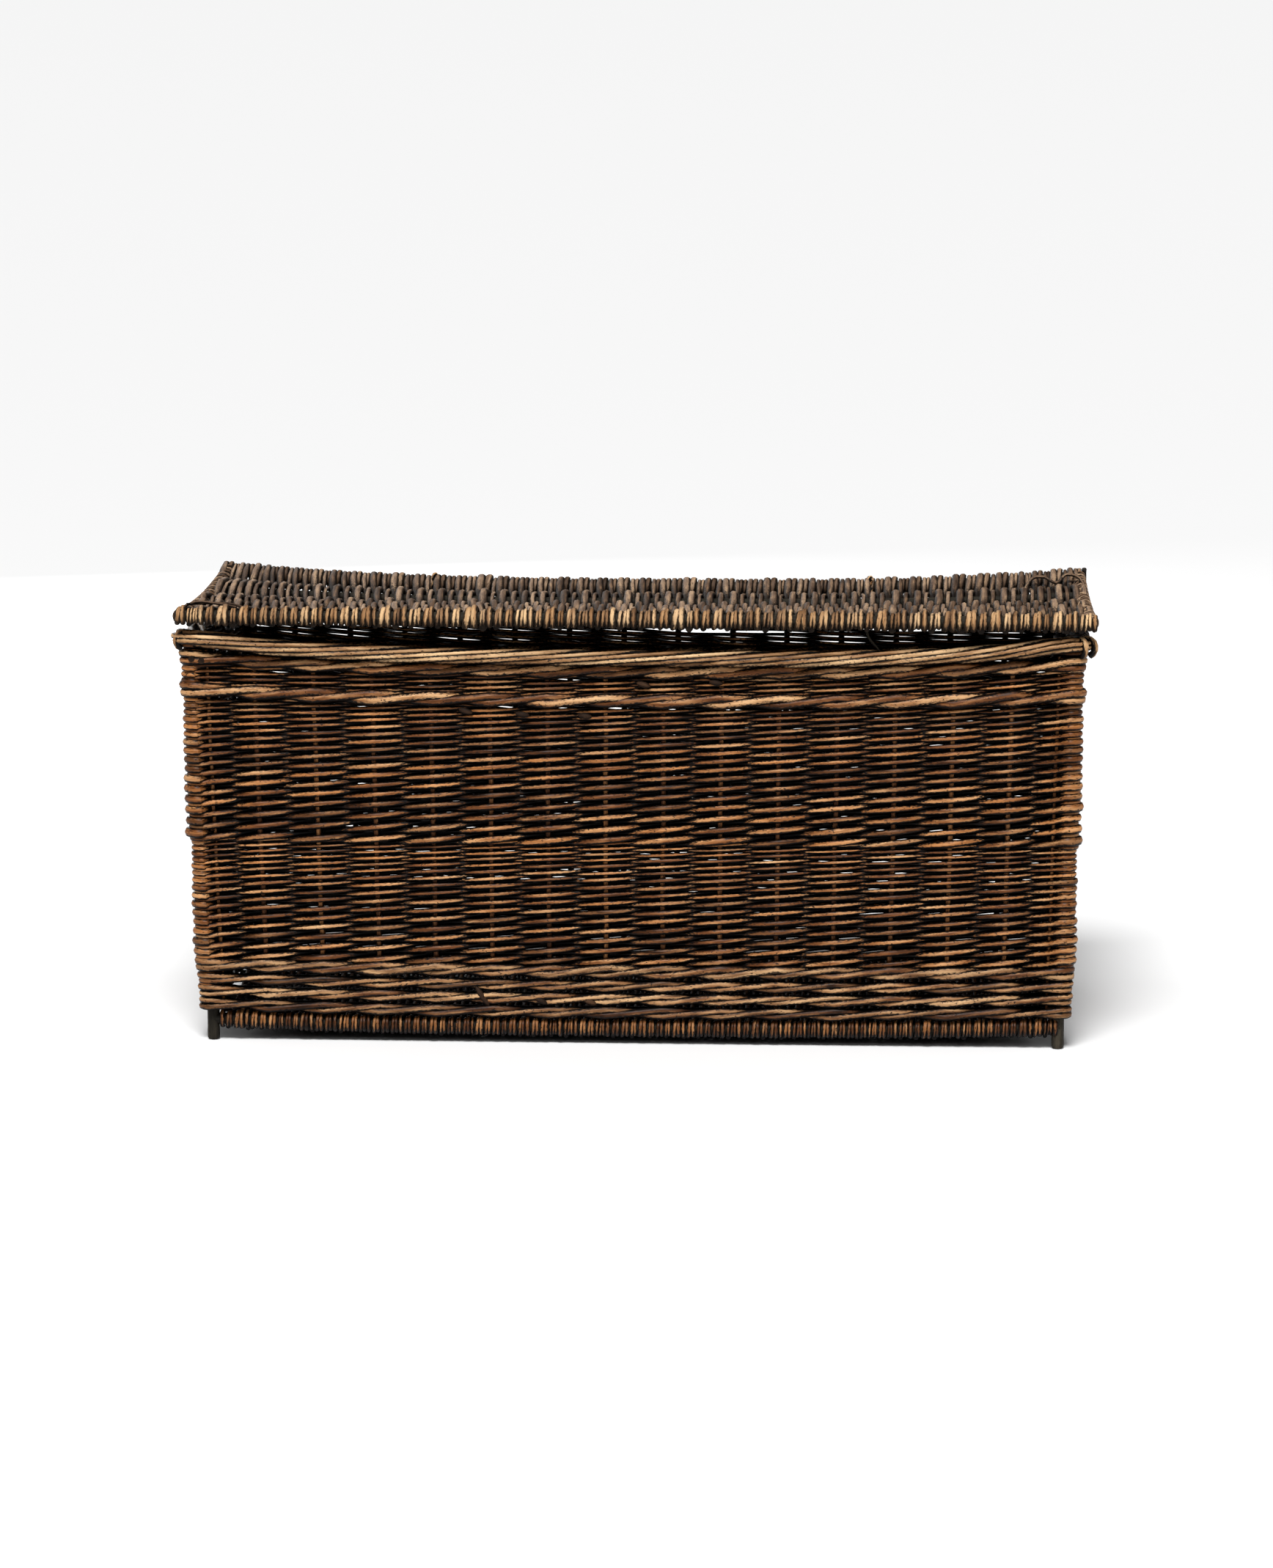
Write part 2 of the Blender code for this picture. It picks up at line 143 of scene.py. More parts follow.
def place(wall, share, out, level):
    """A point of the leaning, sunken wall. The level is the one it has at the corners."""
    z = level - wall_drop(*flat_place(wall, share, 0.0, *lean(level)), level)
    x, y = flat_place(wall, share, out, *lean(z))
    return Vector((x - LEFT_LEAN * z / post_high.z * max(0.0, -x / TOP_X) ** 2, y, z))


def stations():
    """Every upright in order round the basket: (wall, share of the way along it, kind)."""
    found = []
    for wall in WALLS:
        near = CORNER_STAKE / wall_length(wall, WAIST)
        found.append((wall, near, "corner stake"))
        count = STAKES[wall]
        found += [(wall, (k + 1) / (count + 1), "stake") for k in range(count)]
        found.append((wall, 1 - near, "corner stake"))
        found.append((wall, 1.0, "post"))
    return found


RING = stations()
print(len(RING), "uprights, of which", sum(kind != "post" for _, _, kind in RING), "are stakes")

# %% [markdown]
# ## From a path to a rod
#
# A rod is a POLY curve with a round bevel and a radius at each point, so that it tapers. All the rods of one
# band share a curve object, which is converted to a mesh at the end. The mesh then gets four attributes for
# the bark: where on the rod a point is, the rod's own shade, how deep the point lies in the weave, which
# sets the painted shade and stain, and how far it is rubbed.

# %% Rods
SIDES = 8  # round enough for a rod a few millimetres thick
chance = random.Random(41)


class Rod:
    """One rod's path: points, a radius at each, and the direction that faces out of the weave there.

    side is 1 where the rod lies on the outer side of the weave and -1 on the inner side. worn is 1 where it is
    rubbed. flat is how much of its thickness a tight turn has pressed out of it.
    """

    def __init__(self, points, radii, outward, side=1.0, worn=0.0, flat=0.0, tint=None):
        self.points = points
        self.radii = radii
        self.outward = outward
        self.side, self.worn, self.flat = [
            value if isinstance(value, list) else [value] * len(points) for value in (side, worn, flat)
        ]
        self.tint = chance.random() if tint is None else tint


def make_rods(name, rods, material, body, replaced=()):
    """Turns a list of Rods into one mesh that rides on a body of the frame."""
    curve = bpy.data.curves.new(name, "CURVE")
    curve.dimensions = "3D"
    curve.bevel_depth = 1.0
    curve.bevel_resolution = SIDES // 2 - 2
    for rod in rods:
        spline = curve.splines.new("POLY")
        spline.points.add(len(rod.points) - 1)
        spline.points.foreach_set("co", [v for p in rod.points for v in (*p, 1.0)])
        spline.points.foreach_set("radius", rod.radii)
        spline.use_smooth = True
    piece = bpy.data.objects.new(name, curve)
    bpy.context.scene.collection.objects.link(piece)
    bpy.ops.object.select_all(action="DESELECT")
    piece.select_set(True)
    bpy.context.view_layer.objects.active = piece
    bpy.ops.object.convert(target="MESH")
    piece = bpy.context.object
    add_bark_attributes(piece.data, rods)
    bpy.ops.object.mode_set(mode="EDIT")
    bpy.ops.mesh.select_all(action="SELECT")
    bpy.ops.mesh.fill_holes(sides=SIDES)
    bpy.ops.mesh.normals_make_consistent(inside=False)
    bpy.ops.object.mode_set(mode="OBJECT")
    bpy.ops.object.shade_smooth_by_angle(angle=math.radians(50))
    piece.data.materials.clear()
    piece.data.materials.append(material)
    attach(piece, body)
    if replaced:
        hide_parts(*replaced)
    print(f"{name}: {len(rods)} rods, {len(piece.data.polygons)} faces")


print("rods have", SIDES, "sides")

# %% [markdown]
# Shade is painted dark, with some real stain, where two rods touch, on faces turned into the weave and on
# undersides, while the outsides stay clean, so every point needs the angle at which it faces out of the weave.
# A rod bent tightly round a stick is pressed flat there.

# %% What the bark has to know
INNER_SHOWN = 0.72  # faces turned into the weave are kept this much less clear of the painted shade than faces turned out


def add_bark_attributes(mesh, rods):
    """grain: metres along and across the rod. tint: its shade. painted_shade_and_stain: 1 deep in the weave,
    where shade is painted with some stain. worn: 1 if rubbed.
    """
    count = len(mesh.vertices)
    assert count == SIDES * sum(len(rod.points) for rod in rods), count
    co = np.empty(count * 3, np.float32)
    mesh.vertices.foreach_get("co", co)
    co = co.reshape(-1, SIDES, 3)
    centre = co.mean(1, keepdims=True)
    spoke = co - centre
    length = np.maximum(np.linalg.norm(spoke, axis=2, keepdims=True), 1e-9)
    spoke /= length
    along = []
    for rod in rods:
        path = np.array([tuple(p) for p in rod.points])
        steps = np.linalg.norm(np.diff(path, axis=0), axis=1)
        along.append(np.concatenate([[0.0], np.cumsum(steps)]) + chance.uniform(0, 40))
    along = np.concatenate(along)
    tint = np.concatenate([np.full(len(rod.points), rod.tint) for rod in rods])
    fields = ("side", "worn", "flat")
    side, worn, flat = [np.concatenate([getattr(rod, field) for rod in rods]) for field in fields]
    outward = np.array([tuple(v) for rod in rods for v in rod.outward])
    facing = np.einsum("rsk,rk->rs", spoke, outward)
    flat = flat[:, None]
    pressed = facing * length[:, :, 0] * flat
    co -= outward[:, None, :] * pressed[:, :, None]
    mesh.vertices.foreach_set("co", co.reshape(-1).astype(np.float32))
    shown = np.clip(0.55 + 0.6 * side[:, None] * np.sign(facing), 0.0, 1.0)
    shown = shown * np.where(facing > 0, 1.0, INNER_SHOWN)
    underside_shade = np.clip(-spoke[:, :, 2], 0.0, 1.0)  # painted shade on the underside, where light from above does not fall, with some stain hanging there
    narrow = np.where(flat > 0, 3.0, 2.0)  # the painted shade and stain reach further up the sides of tight turns
    # Painted shade with some real stain: dark on faces turned into the weave or against other rods, and
    # underneath.
    painted_shade_and_stain = np.clip(1.05 - 1.2 * np.abs(facing) ** narrow * shown + 0.8 * underside_shade, 0.0, 1.0)
    turn = np.arange(SIDES) * (2 * math.pi / SIDES)
    radius = length[:, :, 0]
    grain = np.stack([
        np.repeat(along[:, None], SIDES, 1),
        np.cos(turn)[None, :] * radius + tint[:, None] * 3.0,
        np.sin(turn)[None, :] * radius,
    ], axis=2)
    layers = {
        "grain": ("FLOAT_VECTOR", "vector", grain.reshape(-1)),
        "tint": ("FLOAT", "value", np.repeat(tint, SIDES)),
        "painted_shade_and_stain": ("FLOAT", "value", painted_shade_and_stain.reshape(-1)),
        "worn": ("FLOAT", "value", np.repeat(worn, SIDES)),
    }
    for name, (kind, field, values) in layers.items():
        layer = mesh.attributes.new(name, kind, "POINT")
        layer.data.foreach_set(field, values.astype(np.float32))


def ease(t):
    return t * t * (3 - 2 * t)


def mix(a, b, t):
    return a + (b - a) * t

# %% [markdown]
# A path round the basket is a list of knots, one or two for each upright. Between knots the rod eases
# from one side of the stakes to the other and climbs evenly. Round a post it follows an arc, because a
# rod bent round a post lies tight against it.

# %% Paths round the basket
SEGMENT = 0.0095  # length of rod between two points of a path
NORMAL = dict(zip(WALLS, (Vector((0, -1, 0)), Vector((1, 0, 0)), Vector((0, 1, 0)), Vector((-1, 0, 0)))))
INSIDE_CORNER = 0.006  # how far before the post a rod on the inside starts to cut the corner


def follow(knots, squeeze=0.0):
    """knots: (wall, share, out, level, radius). Returns points, radii, outward directions and sides.

    squeeze is how much thinner a rod is where it crosses its neighbours between two stakes.
    """
    points, radii, outward, side = [], [], [], []
    for a, b in zip(knots, knots[1:]):
        if a[0] == b[0]:
            run = abs(b[1] - a[1]) * wall_length(a[0], a[3])
            count = max(2, round(run / SEGMENT))
            for k in range(count):
                t = k / count
                points.append(place(a[0], mix(a[1], b[1], t), mix(a[2], b[2], ease(t)), mix(a[3], b[3], t)))
                squeezed = 1 - squeeze * math.sin(math.pi * t) if a[2] * b[2] < 0 else 1.0
                radii.append(mix(a[4], b[4], t) * squeezed)
                outward.append(NORMAL[a[0]])
                side.append(side_of(mix(a[2], b[2], ease(t))))
        else:
            first = NORMAL[a[0]]
            second = NORMAL[b[0]]
            count = 5 if a[2] > 0 else 1
            for k in range(count):
                t = k / count
                way = (first * math.cos(t * math.pi / 2) + second * math.sin(t * math.pi / 2)).normalized()
                centre = place(a[0], 1.0, 0.0, mix(a[3], b[3], t))
                reach = mix(a[2], b[2], t)
                points.append(centre + way * reach if a[2] > 0 else place(*a[:4]))
                radii.append(mix(a[4], b[4], t))
                outward.append(way)
                side.append(side_of(reach))
    last = knots[-1]
    points.append(place(*last[:4]))
    radii.append(last[4])
    outward.append(NORMAL[last[0]])
    side.append(side_of(last[2]))
    return points, radii, outward, side


def side_of(out):
    return max(-1.0, min(1.0, out / 0.005))


def next_wall(wall):
    return WALLS[(WALLS.index(wall) + 1) % 4]


def knots_at(station, out, level, radius):
    """The knots that take a rod past one upright: one at a stake, two at a post."""
    wall, share, kind = station
    if kind != "post":
        return [(wall, share, out, level, radius)]
    if out > 0:
        return [(wall, 1.0, out, level, radius), (next_wall(wall), 0.0, out, level, radius)]
    inside = INSIDE_CORNER - out
    return [
        (wall, 1.0 - inside / wall_length(wall, level), out, level, radius),
        (next_wall(wall), inside / wall_length(next_wall(wall), level), out, level, radius),
    ]


def wobble(amount):
    return chance.uniform(-amount, amount)


print("a point about every", SEGMENT, "m")

# %% [markdown]
# ## Bark, buff and weathered grey
#
# The basket is brown willow, boiled and stained, then varnished: a warm brown rod with darker streaks along
# it, small black specks, and painted shade, almost black, with some real stain, wherever two rods touch and on
# the rods' inner sides and undersides. The rods that stand proud, on the border and along the lid's front edge,
# are rubbed back to gold. One recipe makes all of these from the four attributes.

# %% Colours and nodes
def linear(hex_colour):
    """An sRGB hex value such as "8a5a34" as the linear colour that a shader wants."""
    parts = [int(hex_colour[k:k + 2], 16) / 255 for k in (0, 2, 4)]
    return (*[p / 12.92 if p <= 0.04045 else ((p + 0.055) / 1.055) ** 2.4 for p in parts], 1.0)


def add_node(tree, kind, inputs=None, **settings):
    """Adds a node; inputs maps a socket to a value or to another node's output."""
    node = tree.nodes.new(kind)
    for name, value in settings.items():
        setattr(node, name, value)
    for name, value in (inputs or {}).items():
        if isinstance(value, bpy.types.NodeSocket):
            tree.links.new(value, node.inputs[name])
        else:
            node.inputs[name].default_value = value
    return node


def colour_steps(node, steps):
    """Sets a Color Ramp's stops from (position, hex colour) pairs."""
    ramp = node.color_ramp
    while len(ramp.elements) < len(steps):
        ramp.elements.new(0.5)
    for element, (position, colour) in zip(ramp.elements, steps):
        element.position = position
        element.color = linear(colour)
    return node.outputs[0]

# %% [markdown]
# Noise stretched along the rod gives fibres, blotches, specks and a ragged edge to the painted shade and stain.
# The rod's own shade is mixed from these, then the rubbed gold, the painted shade with its stain, and the
# specks.

# %% Willow
SPECK_COLOUR = "140c07"


def willow(name, bark, rubbed, shade_and_stain_colour, shade_and_stain_strength, specks, roughness):
    """Willow bark: the shades of the bark and of a rubbed rod, and the painted shade, with some stain, that
    lies in the crevices.
    """
    made = bpy.data.materials.new(name)
    made.use_nodes = True
    tree = made.node_tree
    shader = tree.nodes["Principled BSDF"]

    def attribute(layer, socket="Fac"):
        return add_node(tree, "ShaderNodeAttribute", attribute_name=layer).outputs[socket]

    def noise(scale, detail):
        """Noise along and across the rod, with this many features to the metre."""
        mapped = add_node(tree, "ShaderNodeMapping", {"Vector": grain, "Scale": scale}).outputs[0]
        made = add_node(tree, "ShaderNodeTexNoise", {"Vector": mapped, "Scale": 1.0, "Detail": detail})
        return made.outputs["Fac"]

    def times_plus(value, factor, added):
        inputs = {0: value, 1: factor, 2: added}
        return add_node(tree, "ShaderNodeMath", inputs, operation="MULTIPLY_ADD").outputs[0]

    def blend(share, first, second):
        return add_node(tree, "ShaderNodeMix", {0: share, 6: first, 7: second}, data_type="RGBA").outputs[2]

    grain = attribute("grain", "Vector")
    tint, painted_shade_and_stain, worn = attribute("tint"), attribute("painted_shade_and_stain"), attribute("worn")
    fibre = noise((40, 1600, 1600), 3.0)  # about 0.6 mm across and 25 mm long
    patch = noise((34, 260, 260), 2.0)  # blotches about 30 mm long and half way round the rod
    dot = noise((330, 520, 520), 1.0)  # one speck about every 7 mm, 1 mm long
    ragged_noise = noise((300, 900, 900), 4.0)  # ragged patches of painted shade and stain, 2 to 4 mm long and 1 mm across
    # Shade: mostly the rod's own, with the blotches and the fibres added, brought back to the range 0 to 1.
    shade = times_plus(patch, 1.3, -0.72)
    shade = times_plus(tint, 0.6, shade)
    shade = times_plus(fibre, 0.7, shade)
    plain, gold = [
        colour_steps(add_node(tree, "ShaderNodeValToRGB", {"Fac": shade}), steps) for steps in (bark, rubbed)
    ]
    rub = times_plus(patch, 1.2, -0.6)
    rub = add_node(tree, "ShaderNodeMath", {0: worn, 1: rub}, operation="ADD", use_clamp=True).outputs[0]
    colour = blend(rub, plain, gold)
    # Painted shade, with some stain, follows the crevices, the inner sides and the undersides, and breaks up
    # where the fibres and the ragged noise are.
    edge = times_plus(fibre, 0.4, painted_shade_and_stain)
    edge = times_plus(ragged_noise, 1.2, edge)
    edge = add_node(tree, "ShaderNodeMapRange", {"Value": edge, 1: 1.06, 2: 1.42, 4: shade_and_stain_strength}).outputs[0]
    colour = blend(edge, colour, linear(shade_and_stain_colour))
    speck = add_node(tree, "ShaderNodeMapRange", {"Value": dot, 1: 0.66, 2: 0.72, 4: specks}).outputs[0]
    colour = blend(speck, colour, linear(SPECK_COLOUR))
    tree.links.new(colour, shader.inputs["Base Color"])
    dull = {"Value": patch, 3: roughness - 0.1, 4: roughness + 0.12}
    rough = add_node(tree, "ShaderNodeMapRange", dull).outputs[0]
    tree.links.new(rough, shader.inputs["Roughness"])
    height = times_plus(speck, -0.6, fibre)
    bump = add_node(tree, "ShaderNodeBump", {"Height": height, "Strength": 0.5, "Distance": 0.0004}).outputs[0]
    tree.links.new(bump, shader.inputs["Normal"])
    shader.inputs["IOR"].default_value = 1.5
    shader.inputs["Specular IOR Level"].default_value = 0.12
    return made


BROWN = ((0.0, "261204"), (0.45, "6b3f20"), (1.0, "b97b46"))
GOLD = ((0.0, "56371c"), (0.45, "98704a"), (1.0, "d6b184"))
GREY = ((0.0, "2a1e16"), (0.45, "5e4939"), (1.0, "9c8169"))
DARK = ((0.0, "14120d"), (0.45, "2a261e"), (1.0, "484136"))
DEEP = ((0.0, "1d0d03"), (0.45, "52301a"), (1.0, "96643a"))
CUT_SHADES = ((0.0, "120b07"), (0.45, "2a1b11"), (1.0, "46301f"))
# The fourth value of each finish is the colour of its painted shade and stain, the fifth how strongly it is
# laid on.
STAINED = willow("stained_brown_willow", BROWN, GOLD, "050201", 1.0, 0.9, 0.38)
DUSTY = willow("weathered_lid_willow", GREY, GOLD, "0c0806", 0.95, 0.6, 0.6)
STICK = willow("unpeeled_stick_willow", DARK, DARK, "0a0907", 0.5, 0.5, 0.7)
LOW = willow("deep_brown_willow", DEEP, GOLD, "050201", 1.0, 0.9, 0.4)
CUT = willow("cut_willow_end", CUT_SHADES, CUT_SHADES, "0a0603", 0.6, 0.8, 0.7)
print("five willow finishes made")

# %% [markdown]
# ## Posts and stakes
#
# The posts are the stoutest sticks in the basket, and their lower ends are its feet. The stakes are straight
# and thin, and show only where a rod passes behind. Both are single rods with a little unevenness, so they
# are made with the same function as the weavers.


# %% Uprights
WANDER = 0.0005  # how far a stake strays from its line


def upright(wall, share, radius):
    """A straight rod up the wall, its radius and line a little uneven."""
    points, radii = [], []
    steps = 14
    for k in range(steps + 1):
        point = place(wall, share, 0.0, mix(BASE_TOP, RIM_WALE_TOP, k / steps))
        if 0 < k < steps:
            point += Vector((wobble(WANDER), wobble(WANDER), 0))
        points.append(point)
        radii.append(radius * (1 + wobble(0.05)))
    return Rod(points, radii, [NORMAL[wall]] * (steps + 1), side=0.6)


def corner_post(wall):
    """The post at the far end of a wall: a foot with a rounded cut end, then the length hidden in the weave."""
    foot_place = place(wall, 1.0, 0.0, BASE_TOP)
    foot_place.x = math.copysign(FOOT_X, foot_place.x)
    foot_place.y = math.copysign(FOOT_Y, foot_place.y)
    points = [Vector((foot_place.x, foot_place.y, z)) for z in (0.0, 0.0012, 0.006, 0.0135, BASE_TOP)]
    radii = [POST_R * 0.80, POST_R * 0.97, POST_R, POST_R * 0.98, POST_R]
    for k in range(1, 9):
        points.append(place(wall, 1.0, 0.0, mix(BASE_TOP, RIM_WALE_TOP, k / 8)))
        radii.append(POST_R * (1 + wobble(0.02)))
    return Rod(points, radii, [NORMAL[wall]] * len(points), side=0.5)


posts = [corner_post(wall) for wall in WALLS]
stakes = []
for wall, share, kind in RING:
    if kind != "post":
        stakes.append(upright(wall, share, STAKE_R * (SLIM if kind == "corner stake" else 1.0)))

post_nodes = [f"corner_post_{y}_{x}" for y in ("front", "back") for x in ("left", "right")]
stake_nodes = [f"stake_{wall}_{k + 1:02d}" for wall in WALLS for k in range(STAKES[wall])]
make_rods("corner_posts", posts, STICK, "basket", post_nodes)
make_rods("wall_stakes", stakes, STAINED, "basket", stake_nodes)

# %% [markdown]
# ## Waling
#
# Three stout rods are worked at once. Each goes in front of two stakes and behind one, and each stroke climbs
# over the two before it, so that a round looks like a rope laid along the wall. A rod's height and its way in
# and out are waves that repeat every three stakes.


# %% Waling rods
WALE_RING = [station for station in RING if station[2] != "corner stake"]
WALE_START = 24  # the rounds begin and end on the back wall
WALE_OVERLAP = 3  # how many uprights past its start a round goes
WALE_PITCH = 0.0127  # from one round at the foot to the next


def wale_round(foot_level, rod_radius):
    """Three rods worked once round the basket at this level."""
    rods = []
    middle = foot_level + 1.9 * rod_radius
    for first in range(3):
        knots = []
        girth = rod_radius * (1 + wobble(0.07))
        for step in range(len(WALE_RING) + WALE_OVERLAP):
            index = WALE_START + first + step
            station = WALE_RING[index % len(WALE_RING)]
            phase = step % 3
            thick = girth * (1.08 - 0.16 * (((step + 7 * first) % 17) / 17)) * (1 + wobble(0.05))
            hold = (POST_R if station[2] == "post" else STAKE_R) + thick
            out = (hold, hold + 0.0006, -hold)[phase]
            rise = math.sin(2 * math.pi * (phase - 0.55) / 3) * rod_radius
            knots += knots_at(station, out + wobble(0.0003), middle + rise + wobble(0.0005), thick)
        rods.append(Rod(*follow(knots), worn=chance.uniform(0.0, 0.5)))
    return rods


base_wale = []
for turn in range(3):
    base_wale += wale_round(BASE_TOP - 0.0002 + WALE_PITCH * turn, 0.0035)
base_wale += wale_round(BASE_TOP + 0.0380, 0.0041)
make_rods("base_waling", base_wale, LOW, "basket", ["base_wale"])

# %% [markdown]
# ## Randing
#
# The plain part of the walls is a French rand. A rod is put in at every space, butt end first, and goes in
# front of one stake and behind the next, climbing one row at each. The rods taper, so the rows are thick at
# the foot of a block and fine at its top, and the basket shows two bands of texture.


# %% Randing rods
RAND_RING = [k for k, station in enumerate(RING) if station[2] != "post"]


def randing(foot_level, top_level, rows, butt, tip, fill):
    """A block of French randing: one rod for each stake, rows high, tapering from butt to tip.

    fill is how much thicker the rods are than the rows, because they are pressed down on each other.
    """
    weights = [mix(butt, tip, k / rows) for k in range(rows + 1)]
    scale = (top_level - foot_level) / sum(weights)
    heights = [foot_level + scale * (sum(weights[:k]) + weights[k] / 2) for k in range(rows + 1)]
    rods = []
    for start in range(len(RAND_RING)):
        girth = scale * fill * (1 + wobble(0.10))
        last = rows - chance.choice((0, 0, 2))  # so that a rod always ends inside
        knots = []
        for row in range(last + 1):
            index = RAND_RING[(start + row) % len(RAND_RING)]
            station = RING[index]
            thick = girth * weights[row] / 2 * (1 + wobble(0.07))
            outside = row % 2 == 1
            hold = STAKE_R * (SLIM if station[2] == "corner stake" else 1.0) + thick
            dip = (-0.12 if outside else -0.32) * weights[row] * scale
            level = heights[row] + dip + wobble(0.14) * weights[row] * scale
            knots.append((station[0], station[1], hold if outside else -hold, level, thick))
            after = RING[(index + 1) % len(RING)]
            if after[2] == "post" and row < last:
                level = (heights[row] + heights[row + 1]) / 2
                bent = thick * (1.35 if row % 2 else 0.9)  # stout and thin bends alternate up the corner
                knots += knots_at(after, POST_R + bent + 0.0012, level, bent)
        rods.append(Rod(*follow(knots, 0.17), worn=chance.uniform(-0.1, 0.35)))
    return rods


LOWER_FOOT, UPPER_FOOT, SHOULDER = 0.0868, 0.2080, 0.3510
lower = randing(LOWER_FOOT - 0.0060, UPPER_FOOT + 0.0006, 32, 5.7, 2.5, 1.34)
upper = randing(UPPER_FOOT - 0.0082, SHOULDER + 0.0062, 34, 6.1, 2.9, 1.30)
make_rods("lower_randing_rods", lower, STAINED, "basket", ["lower_randing"])
make_rods("upper_randing_rods", upper, STAINED, "basket", ["upper_randing"])

rim = wale_round(SHOULDER - 0.0008, 0.0045)
rim += randing(SHOULDER + 0.0100, SHOULDER + 0.0375, 8, 3.5, 3.3, 1.42)
rim += wale_round(SHOULDER + 0.0325, 0.0043)
make_rods("rim_waling", rim, STAINED, "basket", ["rim_wale"])

# %% [markdown]
# Round the posts the maker packs extra turns between the bands, so that the corners are as tight as the
# walls. Each is a short rod bent round the post, with both ends tucked in behind the next stakes.


# %% Packing round the posts
PAST_STAKE = CORNER_STAKE * 1.5  # the ends reach this far from the post's middle


def corner_turn(wall, level, radius):
    after = next_wall(wall)
    near = PAST_STAKE / wall_length(wall, level)
    near_after = PAST_STAKE / wall_length(after, level)
    hold = POST_R + radius + wobble(0.0006)
    inside = STAKE_R * SLIM + radius
    return Rod(*follow([
        (wall, 1 - near, -inside, level, radius), (wall, 1.0, hold, level, radius),
        (after, 0.0, hold, level, radius), (after, near_after, -inside, level, radius),
    ]))


packing = []
PACKED = (
    (BASE_TOP + 0.002, LOWER_FOOT + 0.010),
    (UPPER_FOOT - 0.008, UPPER_FOOT + 0.008),
    (SHOULDER - 0.012, 0.4030),
)
for wall in WALLS:
    for level, band_top in PACKED:
        while level < band_top:
            radius = 0.0026 + wobble(0.0004)
            packing.append(corner_turn(wall, level + radius, radius))
            level += 2.1 * radius
make_rods("corner_packing", packing, STAINED, "basket")

# %% [markdown]
# ## The border
#
# The stakes' own ends are bent down and laid along the rim, each in front of three others before it goes over
# the top and is cut off inside. A rod starts low on the outside, climbs, and rolls over the top. One list of
# places in that cross-section describes every stroke.

# %% Border rods
# How far a border rod has got, in stakes, and where it is: out from the stakes, up from the border's middle.
STROKE = ((-0.5, -0.0030, -0.0052), (0.2, 0.0110, -0.0054), (1.0, 0.0185, -0.0026), (2.0, 0.0190, 0.0022),
          (2.9, 0.0130, 0.0056), (3.6, 0.0035, 0.0062), (4.3, -0.0055, 0.0010))
CORNER_RISE = 0.0040  # the rods pile up over the front posts
CORNER_REACH = 0.06  # how far from a post the pile, and the change in the packing, can be seen
BORDER_OUT = 0.0060  # from the stakes to the border's middle
BACK_PACKING = 0.55  # how wide the bundle is along the back, next to the other walls
BORDER_RING = [station for station in RING if station[2] != "corner stake"]


def border_rod(start):
    """One stroke of the border from the station it starts at."""
    girth = 0.0031 * (1 + wobble(0.12))
    knots = []
    fine = 3
    total = round((STROKE[-1][0] - STROKE[0][0]) * fine)
    for k in range(total + 1):
        along = STROKE[0][0] + k / fine
        before = max(j for j in range(len(STROKE) - 1) if STROKE[j][0] <= along + 1e-6)
        t = (along - STROKE[before][0]) / (STROKE[before + 1][0] - STROKE[before][0])
        out = mix(STROKE[before][1], STROKE[before + 1][1], t)
        up = mix(STROKE[before][2], STROKE[before + 1][2], t)
        near = between_stations(start + along, out, BORDER_LEVEL + up, girth * (1.14 - 0.25 * k / total))
        knots += [(knot[0], knot[1], tuck(*knot[:3]), *knot[3:]) for knot in near]
    points, radii, outward, side = follow(knots)
    outward = [roll_out(p, way) for p, way in zip(points, outward)]
    return Rod(points, radii, outward, worn=chance.uniform(0.8, 1.25))


def roll_out(point, way):
    """The direction from the middle of the border to a point of one of its rods, seen end on."""
    rim = TOP_Y if abs(way.y) > abs(way.x) else TOP_X
    out = point.dot(way) - rim - BORDER_OUT
    up = point.z + wall_drop(point.x, point.y, BORDER_LEVEL) - BORDER_LEVEL
    return (way * out + Vector((0, 0, up))).normalized()


def corner_rise(wall, share):
    """How far the border stands up because of the rods finished off over the front posts."""
    away = {"front": min(share, 1 - share), "right": share, "left": 1 - share, "back": 1.0}[wall]
    return CORNER_RISE * math.exp(-(away * wall_length(wall, BORDER_LEVEL) / CORNER_REACH) ** 2)


def tuck(wall, share, out):
    """Along the back the border is packed into a tighter bundle, because the lid turns round it."""
    away = {"front": 1.0, "right": 1 - share, "left": share, "back": 0.0}[wall]
    away *= wall_length(wall, BORDER_LEVEL)
    return mix(BORDER_OUT, out, mix(BACK_PACKING, 1.0, min(1.0, away / CORNER_REACH)))


def between_stations(where, out, level, radius):
    """A knot at a place told in stations, such as 3.4, which may be a post's corner."""
    count = len(BORDER_RING)
    index = math.floor(where)
    share = where - index
    a, b = BORDER_RING[index % count], BORDER_RING[(index + 1) % count]
    if a[2] == "post" and share < 1e-6:
        return knots_at(a, out, level + corner_rise(a[0], 1.0), radius)
    first = 0.0 if a[2] == "post" else a[1]
    wall = next_wall(a[0]) if a[2] == "post" else a[0]
    last = 1.0 if b[2] == "post" else b[1]
    along = mix(first, last, share)
    return [(wall, along, out, level + corner_rise(wall, along), radius)]


border = [border_rod(start) for start in range(len(BORDER_RING))]
make_rods("border_rods", border, STAINED, "basket", ["border"])

# %% [markdown]
# ## The lid and the base
#
# Both are flat weaves on long sticks. A rod goes over one stick and under the next until it reaches the edge,
# is turned round the edge stick and comes back the other way up. Every rod covers the edge stick once where
# it fills two places inside, so the maker takes extra turns round the edge when it falls behind.


# %% Flat weaves
PRESSED = 0.28  # of a rod's thickness, lost where it turns round an edge stick
TURN_PITCH = 2.16  # from one turn to the next, in rod radii
BULGE = 1.10  # a rod left free between two sticks is this much thicker than where it is pressed on them
TIGHT = 0.80  # a rod is drawn this much thinner where it turns round an edge stick
LAST_TURN_R = 0.0026  # of the thin rods that fill each edge to its end


def no_slant(x, y):
    return 0.0


